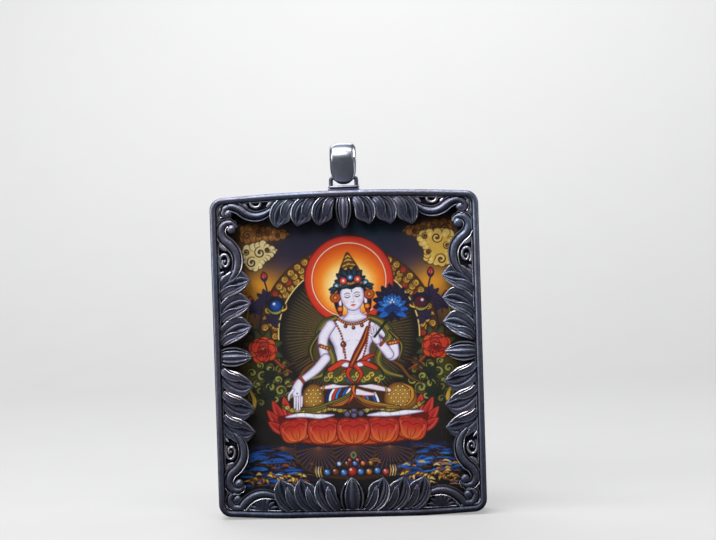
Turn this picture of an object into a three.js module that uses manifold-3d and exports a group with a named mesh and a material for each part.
// Amulet pendant: a rectangular silver box with a leaf and scroll border round a glazed painting,
// a back cover that draws up out of its grooves, and a bail that swings on a staple at the top.
// Millimetres, +Z up, front towards -Y, origin at the middle of the foot that it stands on.
import * as THREE from "three";
import { mergeVertices } from "three/addons/utils/BufferGeometryUtils.js";
import Module from "manifold-3d";

const wasm = await Module();
wasm.setup();

// Case, seen from the front
const caseWidth = 50;
const caseHeight = 60.9;
const cornerRadius = 2.4;
const topBow = 0.75; // how much the top edge falls from its middle to its corners
const footBow = 0.5; // how much the bottom edge rises from its flat middle to its corners
const footWidth = 24; // flat stretch of the bottom edge
const edgeBevel = 0.35;
const rimWidth = 0.9; // silver that shows round the border
const seatWidth = 0.8; // how much further in the wall reaches behind the border
const ledgeWidth = 0.7; // shoulder that the glass rests on
const lipWidth = 1.3; // lip that keeps the back cover in its groove
const minimumRadius = 0.3; // of an inside corner

// Layers, from the front to the back
const borderRecess = 0.1; // highest leaf below the rim
const reliefHeight = 1.4; // highest leaf above the border's plate
const borderPlate = 0.6;
const ledgeThickness = 0.5;
const glassThickness = 0.8;
const matThickness = 0.3;
const canvasThickness = 0.5;
const boardThickness = 1.2;
const padThickness = 1.5;
const coverThickness = 0.9;

// Clearances
const seatGap = 0.05; // between flat pieces that lie on each other
const sideGap = 0.3; // round a piece that is set into the case
const slideGap = 0.12; // round the sliding cover
const bailGap = 0.2; // between the bail and the staple's bar
const pegGap = 0.1; // round the staple's legs in their holes

// Border plate, how far it reaches in from the rim on each side
const plateTop = 2.4;
const plateSide = 3.1;
const plateBottom = 3.2;

// Picture mat
const matWidth = 0.7;

// Back cover
const panelHeight = 0.35; // raised field between the lips
const panelMargin = 0.35;
const gripWidth = 14;
const gripHeight = 2.4;
const gripDepth = 0.5;
const gripFromTop = 4;
const roundelRadius = 13;
const roundelThickness = 0.5; // at the hub, its highest place
const roundelBeadWidth = 0.9;
const lipProud = 0.05; // lips behind the roundel, so that the case lies flat on its back
const petalCount = 8;
const petalLength = 8.2;
const petalWidth = 6;
const hubRadius = 3;

// Bail, staple and plinth
const plinthWidth = 5.8;
const plinthDepth = 3.2;
const plinthThickness = 0.85;
const wireRadius = 0.38;
const stapleSpan = 4.8; // between the middles of the legs
const bailClearUnder = 0.25; // bail above the plinth
const bailThickness = 0.85;
const bailToeThickness = 0.65;
const bailHeight = 7.75;
const bailDepth = 5.6;
const bailWidth = 4.7;
const bailToeWidth = 1.9;
const bailRoundHeight = 2.8; // up to here the band's lower end is rounded
const bailCrown = 0.35; // how much the band's edges fall away from its middle

// Facets
const cornerSegments = 4;
const wireSides = 10;
const pegHoleSides = 12;
const roundelSides = 40;
const petalSteps = 5;
const crownSteps = 12;
const toeSteps = 8;
const flankSteps = 3;

// Places that follow from the sizes
const borderDepth = borderRecess + reliefHeight + borderPlate + seatGap;
const stackDepth =
  glassThickness + matThickness + canvasThickness + boardThickness + padThickness + 5 * seatGap;
const grooveDepth = coverThickness + 2 * slideGap;
const lipThickness = panelHeight + seatGap + roundelThickness + lipProud - slideGap;
const caseDepth = borderDepth + ledgeThickness + stackDepth + grooveDepth + lipThickness;
const rimY = -caseDepth / 2;
const ledgeY = rimY + borderDepth;
const cavityY = ledgeY + ledgeThickness;
const grooveY = cavityY + stackDepth;
const lipY = grooveY + grooveDepth;
const backY = lipY + lipThickness;
const wallMiddleY = (rimY + grooveY) / 2; // of the top wall in front of the groove
const plateFrontY = rimY + borderRecess + reliefHeight;
const plateBackY = plateFrontY + borderPlate;
const coverFrontY = grooveY + slideGap;
const coverBackY = coverFrontY + coverThickness;
const wallWidth = rimWidth + seatWidth;
const overrun = 1; // how far a cut runs past the surface that it opens

// A closed geometry as a manifold-3d solid.
function solid(geometry) {
  const bare = geometry.index ? geometry.toNonIndexed() : geometry.clone();
  bare.deleteAttribute("normal");
  bare.deleteAttribute("uv");
  const merged = mergeVertices(bare, 1e-4);
  const vertProperties = merged.attributes.position.array;
  const triVerts = new Uint32Array(merged.index.array);
  return new wasm.Manifold(new wasm.Mesh({ numProp: 3, vertProperties, triVerts }));
}

// A manifold-3d solid as a geometry with flat faces.
function geometryOf(made) {
  const mesh = made.getMesh();
  const geometry = new THREE.BufferGeometry();
  geometry.setAttribute("position", new THREE.BufferAttribute(mesh.vertProperties, 3));
  geometry.setIndex(new THREE.BufferAttribute(mesh.triVerts, 1));
  const flat = geometry.toNonIndexed();
  flat.computeVertexNormals();
  return flat;
}

// Joins solids into one.
function joined(solids) {
  return solids.reduce((sum, next) => sum.add(next));
}

// A rectangle in the plane of the picture with rounded corners, the top ones and the bottom ones.
function outline(halfWidth, low, high, topRadius, bottomRadius = topRadius, topFall = 0, footRise = 0) {
  const top = Math.max(topRadius, 0);
  const bottom = Math.max(bottomRadius, 0);
  const shape = new THREE.Shape();
  shape.moveTo(-halfWidth + bottom, low + footRise);
  if (footRise > 0) {
    const flat = Math.min(footWidth / 2, halfWidth - bottom);
    shape.lineTo(-flat, low);
    shape.lineTo(flat, low);
  }
  shape.lineTo(halfWidth - bottom, low + footRise);
  if (bottom > 0) {
    shape.absarc(halfWidth - bottom, low + footRise + bottom, bottom, -Math.PI / 2, 0, false);
  }
  shape.lineTo(halfWidth, high - topFall - top);
  if (top > 0) shape.absarc(halfWidth - top, high - topFall - top, top, 0, Math.PI / 2, false);
  if (topFall > 0) shape.quadraticCurveTo(0, high + topFall, -halfWidth + top, high - topFall);
  else shape.lineTo(-halfWidth + top, high);
  if (top > 0) {
    shape.absarc(-halfWidth + top, high - topFall - top, top, Math.PI / 2, Math.PI, false);
  }
  shape.lineTo(-halfWidth, low + footRise + bottom);
  if (bottom > 0) {
    shape.absarc(-halfWidth + bottom, low + footRise + bottom, bottom, Math.PI, 1.5 * Math.PI, false);
  }
  return shape;
}

// The case's outline, taken in by some distance.
function inset(distance) {
  const radius = Math.max(cornerRadius - distance, minimumRadius);
  const halfWidth = caseWidth / 2 - distance;
  return outline(halfWidth, distance, caseHeight - distance, radius, radius, topBow, footBow);
}

// A shape of the picture's plane as a plate between two depths, with an optional bevel on both edges.
function slab(shape, fromY, toY, bevel = 0) {
  const geometry = new THREE.ExtrudeGeometry(shape, {
    depth: toY - fromY - 2 * bevel,
    curveSegments: cornerSegments,
    bevelEnabled: bevel > 0,
    bevelThickness: bevel,
    bevelSize: bevel,
    bevelOffset: -bevel,
    bevelSegments: 2,
  });
  geometry.rotateX(Math.PI / 2);
  geometry.translate(0, toY - bevel, 0);
  return geometry;
}

// A straight round bar between two points.
function bar(from, to, radius, sides) {
  const axis = to.clone().sub(from);
  const geometry = new THREE.CylinderGeometry(radius, radius, axis.length(), sides);
  geometry.applyQuaternion(
    new THREE.Quaternion().setFromUnitVectors(new THREE.Vector3(0, 1, 0), axis.normalize()),
  );
  const middle = from.clone().add(to).multiplyScalar(0.5);
  geometry.translate(middle.x, middle.y, middle.z);
  return geometry;
}

// A closed geometry from a row of loops of points: open rows are capped, closed ones join up.
function loft(loops, closed = false) {
  const size = loops[0].length;
  const points = loops.flat();
  const faces = [];
  const rows = closed ? loops.length : loops.length - 1;
  for (let row = 0; row < rows; row++) {
    const here = row * size;
    const there = ((row + 1) % loops.length) * size;
    for (let i = 0; i < size; i++) {
      const j = (i + 1) % size;
      faces.push(here + i, here + j, there + j, here + i, there + j, there + i);
    }
  }
  if (!closed) {
    const last = (loops.length - 1) * size;
    for (let i = 1; i < size - 1; i++) {
      faces.push(0, i + 1, i);
      faces.push(last, last + i, last + i + 1);
    }
  }
  const geometry = new THREE.BufferGeometry().setFromPoints(points);
  geometry.setIndex(faces);
  return geometry;
}

// Border relief. A ribbon follows a curve in the plane of the picture. Its section is a list of
// [across, height], with across from -1 to 1 and height as a share of the ribbon's own height.
const leafSection = [
  [1, 0.5],
  [0.7, 1],
  [0.15, 0.6],
  [-0.6, 0.9],
  [-1, 0.45],
];
const bandSection = [
  [1, 0.5],
  [0.65, 1],
  [-0.1, 0.7],
  [-0.65, 1],
  [-1, 0.5],
];
const beadSection = [
  [1, 0.5],
  [0, 1],
  [-1, 0.5],
];

// The radius of a curve's bend at some place, taken over a short stretch.
const bendStretch = 0.01; // as a share of the curve

function bendRadius(curve, t) {
  const from = Math.max(t - bendStretch, 0);
  const to = Math.min(t + bendStretch, 1);
  const turned = curve.getTangent(from).distanceTo(curve.getTangent(to));
  return curve.getPoint(from).distanceTo(curve.getPoint(to)) / turned;
}

// A ribbon is nowhere wider than its bend allows, so its inner edge never folds over.
function ribbon(curve, steps, widthAt, heightAt, section, flip) {
  const loops = [];
  const mirrored = section.map(([across, share]) => [-across, share]).reverse();
  for (let step = 0; step <= steps; step++) {
    const t = step / steps;
    const point = curve.getPoint(t);
    const tangent = curve.getTangent(t);
    const half = Math.min(widthAt(t) / 2, bendRadius(curve, t));
    const place = (across, y) => {
      const shift = across * half;
      return new THREE.Vector3(point.x - tangent.y * shift, y, point.y + tangent.x * shift);
    };
    const crest = (flip ? mirrored : section).map(([across, share]) =>
      place(across, plateFrontY - heightAt(t) * share),
    );
    loops.push([place(-1, plateBackY), place(1, plateBackY), ...crest]);
  }
  return solid(loft(loops));
}

// The sides of the border. A motif is drawn for one half of one side: "along" runs from the middle
// of the side towards its corner, and "inward" from the rim's inner edge towards the picture.
const innerHalfWidth = caseWidth / 2 - rimWidth;
const innerHalfHeight = caseHeight / 2 - rimWidth;
const middleZ = caseHeight / 2;
const drawnHalfWidth = 24.1; // the half lengths that the motifs below are drawn for
const drawnHalfHeight = 28.85;
const drawnLeavesEnd = 11; // from here on to the corner come the scrolls

// How far the rim has fallen, or risen, at some place along the top, or the bottom.
function topFallAt(x) {
  return topBow * (x / innerHalfWidth) ** 2;
}

function footRiseAt(x) {
  const past = Math.max(Math.abs(x) - footWidth / 2, 0);
  return (footBow * past) / (innerHalfWidth - footWidth / 2);
}

// A place along a drawn side on the real one. The scrolls keep their shape and their distance from
// the corner, and the leaves share what is left.
function fitted(along, halfLength, drawnHalfLength) {
  const spare = halfLength - drawnHalfLength;
  return along + spare * Math.min(along / drawnLeavesEnd, 1);
}

function halfSide(kind, hand, way) {
  const flip = { top: hand > 0, bottom: hand < 0, side: hand * way > 0 }[kind];
  const place = ([along, inward]) => {
    if (kind === "side") {
      const z = middleZ + way * fitted(along, innerHalfHeight, drawnHalfHeight);
      return new THREE.Vector2(hand * (innerHalfWidth - inward), z);
    }
    const x = hand * fitted(along, innerHalfWidth, drawnHalfWidth);
    if (kind === "top") {
      return new THREE.Vector2(x, middleZ + innerHalfHeight - topFallAt(x) - inward);
    }
    return new THREE.Vector2(x, middleZ - innerHalfHeight + footRiseAt(x) + inward);
  };
  return { kind, flip, place };
}

// Leaves of each kind of side: three lean towards the corner from one upright leaf in the middle.
const leafRows = {
  top: { base: 1.8, basePitch: 3.7, tip: 4.7, tipPitch: 3.95, reach: 5.5, width: 4 },
  side: { base: 2, basePitch: 4.1, tip: 5.2, tipPitch: 4.15, reach: 6.3, width: 4.3 },
  bottom: { base: 2.2, basePitch: 3.5, tip: 5.8, tipPitch: 3.8, reach: 6.4, width: 4.2 },
};
const middleLeaves = {
  top: { reach: 6.2, width: 3 },
  side: { reach: 6.1, width: 3.8 },
  bottom: { reach: 6.5, width: 4.6 },
};
const leavesPerHalf = 3;
const leafFoot = 0.35; // where a leaf starts, inward of the rim
const leafSteps = 5;
const leafStepDown = 0.12; // each leaf lies this much under the one before it
const leafLean = 0.85; // how far the bend has gone along the side, as a share of the tip's way
const leafRise = 0.25; // how far the bend has gone inward, as a share of the tip's way
const leafFullAt = 0.4; // where a leaf is widest, as a share of its length
const leafBluntness = 0.7; // power of the leaf's outline, lower for a fuller leaf
const leafEndHeight = 0.6; // height of a leaf at its foot and tip, as a share of its middle
const pointWidth = 0.08; // of a ribbon's pointed end

// A leaf's width along its length: broad at the foot, full before the middle, pointed at the tip.
function leafWidth(full) {
  return (t) => {
    const away = Math.abs(t - leafFullAt) / (1 - leafFullAt);
    return Math.max(full * Math.max(Math.cos((Math.PI / 2) * away), 0) ** leafBluntness, pointWidth);
  };
}

// A leaf's height along its length: low at the foot and at the tip.
function leafHeight(full) {
  return (t) => full * (leafEndHeight + (1 - leafEndHeight) * Math.sin(Math.PI * t));
}

function leaf(half, foot, tip, lean, width, height) {
  const bend = [
    foot[0] + (tip[0] - foot[0]) * lean,
    foot[1] + (tip[1] - foot[1]) * leafRise,
  ];
  const curve = new THREE.QuadraticBezierCurve(half.place(foot), half.place(bend), half.place(tip));
  return ribbon(curve, leafSteps, leafWidth(width), leafHeight(height), leafSection, half.flip);
}

function leafRow(half) {
  const row = leafRows[half.kind];
  const leaves = [];
  for (let n = 0; n < leavesPerHalf; n++) {
    const foot = [row.base + n * row.basePitch, leafFoot];
    const tip = [row.tip + n * row.tipPitch, row.reach];
    leaves.push(leaf(half, foot, tip, leafLean, row.width, reliefHeight - (n + 1) * leafStepDown));
  }
  return leaves;
}

// The upright leaf in the middle of a side stands on both of its halves, so one half draws it.
function middleLeaf(half) {
  const { reach, width } = middleLeaves[half.kind];
  return leaf(half, [0, leafFoot], [0, reach], 0, width, reliefHeight);
}

// Scrolls of each kind of side, as the points that their middle lines pass through.
const scrollLines = {
  top: [
    [11.2, 0.7],
    [13.2, 1.8],
    [14.8, 2.8],
    [16.4, 3.1],
    [18.1, 2.6],
    [19.7, 1.4],
    [21.2, 0.9],
    [22.4, 1.6],
    [22.2, 2.7],
    [21.2, 2.6],
  ],
  side: [
    [11.4, 0.8],
    [13.4, 2.2],
    [15.1, 3.5],
    [17, 4],
    [18.8, 3.7],
    [20.2, 2.7],
    [21.3, 1.5],
    [22.8, 1],
    [24.1, 1.7],
    [24.3, 3.1],
    [23.3, 3.8],
  ],
  bottom: [
    [11.9, 1],
    [13.3, 2.6],
    [15, 3.4],
    [16.8, 3.6],
    [18.5, 3.1],
    [19.9, 2.1],
    [21, 0.9],
    [22.4, 1],
    [23, 2.3],
    [22.2, 3.4],
    [21.1, 3.2],
  ],
};
const scrollWidth = 1.9;
const scrollTaper = 0.5; // how much of the width the scroll loses on its way
const scrollSteps = 20;
const scrollHeight = 1.1;

function scroll(half) {
  const curve = new THREE.SplineCurve(scrollLines[half.kind].map(half.place));
  const width = (t) => scrollWidth * (1 - scrollTaper * t);
  return ribbon(curve, scrollSteps, width, () => scrollHeight, bandSection, half.flip);
}

// The small curl that fills the hollow behind a scroll, a spiral that winds in.
const curls = {
  top: { middle: [16.1, 0.6], outer: 0.8, inner: 0.4, from: -0.5, turn: 3.4, width: 0.7 },
  side: { middle: [17.2, 1.55], outer: 1.35, inner: 0.5, from: -2.4, turn: 7.2, width: 0.8 },
};
const curlSteps = 9;
const curlHeight = 0.9;

function curl(half) {
  const { middle, outer, inner, from, turn, width } = curls[half.kind];
  const points = [];
  for (let step = 0; step <= curlSteps; step++) {
    const share = step / curlSteps;
    const radius = outer + (inner - outer) * share;
    const angle = from + turn * share;
    const inward = Math.max(middle[1] + radius * Math.sin(angle), leafFoot);
    points.push(half.place([middle[0] + radius * Math.cos(angle), inward]));
  }
  const curve = new THREE.SplineCurve(points);
  return ribbon(curve, curlSteps, () => width, () => curlHeight, beadSection, half.flip);
}

// The fan of small petals under each arch of the bottom side.
const fanMiddle = [16.6, 0.35];
const fanPetals = 5;
const fanSpread = 0.62; // radians between two petals
const fanLength = 2;
const fanWidth = 1;
const fanSteps = 3;
const fanHeight = 0.8;

function fan(half) {
  const petals = [];
  for (let n = 0; n < fanPetals; n++) {
    const angle = (n - (fanPetals - 1) / 2) * fanSpread;
    const tip = [
      fanMiddle[0] + fanLength * Math.sin(angle),
      Math.max(fanMiddle[1] + fanLength * Math.cos(angle), leafFoot + fanWidth / 2),
    ];
    const curve = new THREE.LineCurve(half.place(fanMiddle), half.place(tip));
    petals.push(ribbon(curve, fanSteps, leafWidth(fanWidth), () => fanHeight, beadSection, half.flip));
  }
  return petals;
}

// The bead at the eye of each corner scroll.
const eyes = { top: [21.6, 1.9], side: [22.8, 2.5], bottom: [21.6, 2.3] };
const eyeRadius = 0.65;
const eyeHeight = 1.1;
const eyeDome = [
  [1, 0.6],
  [0.6, 0.92],
  [0, 1],
]; // as shares of the radius and the height
const eyeSides = 8;

function eye(half) {
  const middle = half.place(eyes[half.kind]);
  const dome = eyeDome.map(([share, rise]) => {
    return new THREE.Vector2(eyeRadius * share, borderPlate + eyeHeight * rise);
  });
  const profile = [new THREE.Vector2(0, 0), new THREE.Vector2(eyeRadius, 0), ...dome];
  const geometry = new THREE.LatheGeometry(profile, eyeSides);
  geometry.rotateX(Math.PI);
  geometry.translate(middle.x, plateBackY, middle.y);
  return solid(geometry);
}

function leafBorder() {
  const outer = solid(slab(inset(rimWidth + sideGap), plateFrontY, plateBackY));
  const window = outline(
    innerHalfWidth - plateSide,
    rimWidth + plateBottom,
    caseHeight - rimWidth - plateTop,
    minimumRadius,
  );
  const plate = outer.subtract(solid(slab(window, plateFrontY - overrun, plateBackY + overrun)));
  const motifs = [];
  for (const hand of [-1, 1]) {
    const top = halfSide("top", hand, 1);
    const bottom = halfSide("bottom", hand, -1);
    motifs.push(...leafRow(top), scroll(top), curl(top), eye(top));
    motifs.push(...leafRow(bottom), scroll(bottom), ...fan(bottom), eye(bottom));
    for (const way of [-1, 1]) {
      const side = halfSide("side", hand, way);
      motifs.push(...leafRow(side), scroll(side), curl(side), eye(side));
    }
    motifs.push(middleLeaf(halfSide("side", hand, 1)));
  }
  motifs.push(middleLeaf(halfSide("top", 1, 1)), middleLeaf(halfSide("bottom", 1, -1)));
  const frame = solid(slab(inset(rimWidth + sideGap), rimY, plateBackY));
  return geometryOf(plate.add(joined(motifs).intersect(frame)));
}

function stapleFeet() {
  return [-1, 1].map((hand) => new THREE.Vector3((hand * stapleSpan) / 2, wallMiddleY, 0));
}

// Holes for the staple's legs, through everything between two heights.
function pegHoles(low, high) {
  return joined(
    stapleFeet().map((foot) => {
      const from = foot.clone().setZ(low);
      const to = foot.clone().setZ(high);
      return solid(bar(from, to, wireRadius + pegGap, pegHoleSides));
    }),
  );
}

function caseFrame() {
  const body = solid(slab(inset(0), rimY, backY, edgeBevel));
  const borderSeat = solid(slab(inset(rimWidth), rimY - overrun, ledgeY));
  const window = solid(slab(inset(wallWidth + ledgeWidth), ledgeY - overrun, cavityY + overrun));
  const cavity = solid(slab(inset(wallWidth), cavityY, grooveY + slideGap));
  const openTop = caseHeight + overrun;
  const grooveRadius = Math.max(cornerRadius - rimWidth, minimumRadius);
  const groove = outline(innerHalfWidth, rimWidth, openTop, 0, grooveRadius, 0, footBow);
  const lipInset = rimWidth + lipWidth;
  const lipRadius = Math.max(cornerRadius - lipInset, minimumRadius);
  const between = outline(caseWidth / 2 - lipInset, lipInset, openTop, 0, lipRadius, 0, footBow);
  return geometryOf(
    body
      .subtract(borderSeat)
      .subtract(window)
      .subtract(cavity)
      .subtract(solid(slab(groove, grooveY, lipY)))
      .subtract(solid(slab(between, lipY - slideGap, backY + overrun)))
      .subtract(pegHoles(caseHeight - wallWidth - overrun, caseHeight + overrun)),
  );
}

// A flat piece of the stack behind the window, from its front face back.
function layer(frontY, thickness) {
  return slab(inset(wallWidth + sideGap), frontY, frontY + thickness);
}

function pictureMat(frontY) {
  const opening = inset(wallWidth + ledgeWidth + matWidth);
  const hole = slab(opening, frontY - overrun, frontY + matThickness + overrun);
  return geometryOf(solid(layer(frontY, matThickness)).subtract(solid(hole)));
}

const coverHalfWidth = innerHalfWidth - slideGap;
const coverLow = rimWidth + slideGap;
const panelHalfWidth = caseWidth / 2 - rimWidth - lipWidth - panelMargin;
const panelLow = rimWidth + lipWidth + panelMargin;
const panelBackY = coverBackY + panelHeight;

function backCover() {
  const coverRadius = Math.max(cornerRadius - rimWidth - slideGap, minimumRadius);
  const tongue = outline(coverHalfWidth, coverLow, caseHeight, 0, coverRadius, 0, footBow);
  const plate = solid(slab(tongue, coverFrontY, coverBackY)).intersect(
    solid(slab(inset(0), coverFrontY - overrun, coverBackY + overrun)),
  );
  const field = outline(
    panelHalfWidth,
    panelLow,
    caseHeight - panelMargin,
    cornerRadius,
    minimumRadius,
    topBow,
    footBow,
  );
  const panel = solid(slab(field, coverBackY - coverThickness / 2, panelBackY));
  const gripZ = caseHeight - gripFromTop;
  const grip = outline(gripWidth / 2, gripZ - gripHeight / 2, gripZ + gripHeight / 2, gripHeight / 2);
  const cut = solid(slab(grip, panelBackY - gripDepth, panelBackY + overrun));
  return geometryOf(plate.add(panel).subtract(cut));
}

// One petal of the roundel, a raised lens that points away from the hub.
function roundelPetal(angle) {
  const seatY = panelBackY + seatGap;
  const outward = new THREE.Vector3(Math.cos(angle), 0, Math.sin(angle));
  const sideways = new THREE.Vector3(-Math.sin(angle), 0, Math.cos(angle));
  const loops = [];
  for (let step = 0; step <= petalSteps; step++) {
    const t = step / petalSteps;
    const half = leafWidth(petalWidth)(t) / 2;
    const rise = leafHeight(roundelThickness)(t);
    const place = (across, y) =>
      new THREE.Vector3(0, seatY + y, middleZ)
        .addScaledVector(outward, hubRadius / 2 + petalLength * t)
        .addScaledVector(sideways, across * half);
    loops.push([
      place(-1, rise / 2),
      place(0, rise),
      place(1, rise / 2),
      place(1, 0),
      place(-1, 0),
    ]);
  }
  return solid(loft(loops));
}

function lotusRoundel() {
  const beadInner = roundelRadius - roundelBeadWidth;
  const profile = [
    [0, 0],
    [roundelRadius, 0],
    [roundelRadius, 0.6],
    [roundelRadius - roundelBeadWidth / 2, 0.9],
    [beadInner, 0.6],
    [beadInner, 0.4],
    [hubRadius, 0.4],
    [hubRadius * 0.9, 0.8],
    [hubRadius * 0.5, 1],
    [0, 1],
  ].map(([radius, share]) => new THREE.Vector2(radius, roundelThickness * share));
  const disc = new THREE.LatheGeometry(profile, roundelSides);
  disc.translate(0, panelBackY + seatGap, middleZ);
  const petals = [];
  for (let n = 0; n < petalCount; n++) petals.push(roundelPetal((n * 2 * Math.PI) / petalCount));
  return geometryOf(solid(disc).add(joined(petals)));
}

// Bail, staple and plinth stand on the top wall, one above the other.
const plinthLow = caseHeight + seatGap;
const plinthHigh = plinthLow + plinthThickness;
const toeRadius = wireRadius + bailGap + bailToeThickness;
const pivotZ = plinthHigh + bailClearUnder + toeRadius;
const crownRadius = bailDepth / 2;
const crownZ = plinthHigh + bailClearUnder + bailHeight - crownRadius;

function bailPlinth() {
  const block = new THREE.BoxGeometry(plinthWidth, plinthDepth, plinthThickness);
  block.translate(0, wallMiddleY, (plinthLow + plinthHigh) / 2);
  return geometryOf(solid(block).subtract(pegHoles(plinthLow - overrun, plinthHigh + overrun)));
}

function bailStaple() {
  const low = caseHeight - wallWidth;
  const [left, right] = stapleFeet().map((foot) => foot.setZ(pivotZ));
  const legs = [left, right].map((top) => solid(bar(top.clone().setZ(low), top, wireRadius, wireSides)));
  const elbows = [left, right].map((top) => {
    const ball = new THREE.SphereGeometry(wireRadius, wireSides, wireSides / 2);
    ball.translate(top.x, top.y, top.z);
    return solid(ball);
  });
  return geometryOf(joined([...legs, ...elbows, solid(bar(left, right, wireRadius, wireSides))]));
}

// The bail is a band bent into a drop: a small round at the staple's bar and a large one at the top.
function bail() {
  const span = crownZ - pivotZ;
  const lean = Math.asin((crownRadius - toeRadius) / span);
  const stations = [];
  const arc = (from, to, steps, high) => {
    for (let step = 0; step <= steps; step++) {
      stations.push({ angle: from + ((to - from) * step) / steps, high });
    }
  };
  const flank = (angle, fromHigh) => {
    for (let step = 1; step < flankSteps; step++) {
      const share = step / flankSteps;
      stations.push({ angle, high: fromHigh ? 1 - share : share });
    }
  };
  arc(-lean, Math.PI + lean, crownSteps, 1);
  flank(Math.PI + lean, true);
  arc(Math.PI + lean, 2 * Math.PI - lean, toeSteps, 0);
  flank(2 * Math.PI - lean, false);
  const loops = stations.map(({ angle, high }) => {
    const outer = toeRadius + (crownRadius - toeRadius) * high;
    const inner = outer - (bailToeThickness + (bailThickness - bailToeThickness) * high);
    const turnZ = pivotZ + span * high;
    const place = (x, radius) => {
      return new THREE.Vector3(x, wallMiddleY + radius * Math.cos(angle), turnZ + radius * Math.sin(angle));
    };
    const below = pivotZ - toeRadius + bailRoundHeight - (turnZ + outer * Math.sin(angle));
    const rounding = Math.min(Math.max(below / bailRoundHeight, 0), 1);
    const half = (bailToeWidth + (bailWidth - bailToeWidth) * Math.sqrt(1 - rounding ** 2)) / 2;
    return [
      place(-half, inner),
      place(half, inner),
      place(half, outer - bailCrown),
      place(half * 0.5, outer - bailCrown * 0.25),
      place(0, outer),
      place(-half * 0.5, outer - bailCrown * 0.25),
      place(-half, outer - bailCrown),
    ];
  });
  return loft(loops, true);
}

const finishes = {
  silver: new THREE.MeshStandardMaterial({ color: 0x6b6f78, roughness: 0.35, metalness: 1 }),
  polished: new THREE.MeshStandardMaterial({ color: 0xb9bcc4, roughness: 0.15, metalness: 1 }),
  glass: new THREE.MeshStandardMaterial({
    color: 0xe8f0f0,
    roughness: 0.02,
    metalness: 0,
    transparent: true,
    opacity: 0.2,
  }),
  paper: new THREE.MeshStandardMaterial({ color: 0x14100e, roughness: 0.95, metalness: 0 }),
  paint: new THREE.MeshStandardMaterial({ color: 0x3a2a30, roughness: 0.6, metalness: 0 }),
  board: new THREE.MeshStandardMaterial({ color: 0xa58a63, roughness: 0.9, metalness: 0 }),
  felt: new THREE.MeshStandardMaterial({ color: 0x5a1418, roughness: 1, metalness: 0 }),
};

const pendant = new THREE.Group();

function add(name, geometry, finish) {
  const mesh = new THREE.Mesh(geometry, finishes[finish]);
  mesh.name = name;
  pendant.add(mesh);
}

const glassY = cavityY + seatGap;
const matY = glassY + glassThickness + seatGap;
const canvasY = matY + matThickness + seatGap;
const boardY = canvasY + canvasThickness + seatGap;
const padY = boardY + boardThickness + seatGap;

add("case_frame", caseFrame(), "silver");
add("leaf_border", leafBorder(), "silver");
add("window_glass", layer(glassY, glassThickness), "glass");
add("picture_mat", pictureMat(matY), "paper");
add("thangka_canvas", layer(canvasY, canvasThickness), "paint");
add("backing_board", layer(boardY, boardThickness), "board");
add("felt_pad", layer(padY, padThickness), "felt");
add("back_cover", backCover(), "silver");
add("lotus_roundel", lotusRoundel(), "silver");
add("bail_plinth", bailPlinth(), "silver");
add("bail_staple", bailStaple(), "silver");
add("bail", bail(), "polished");

export default pendant;
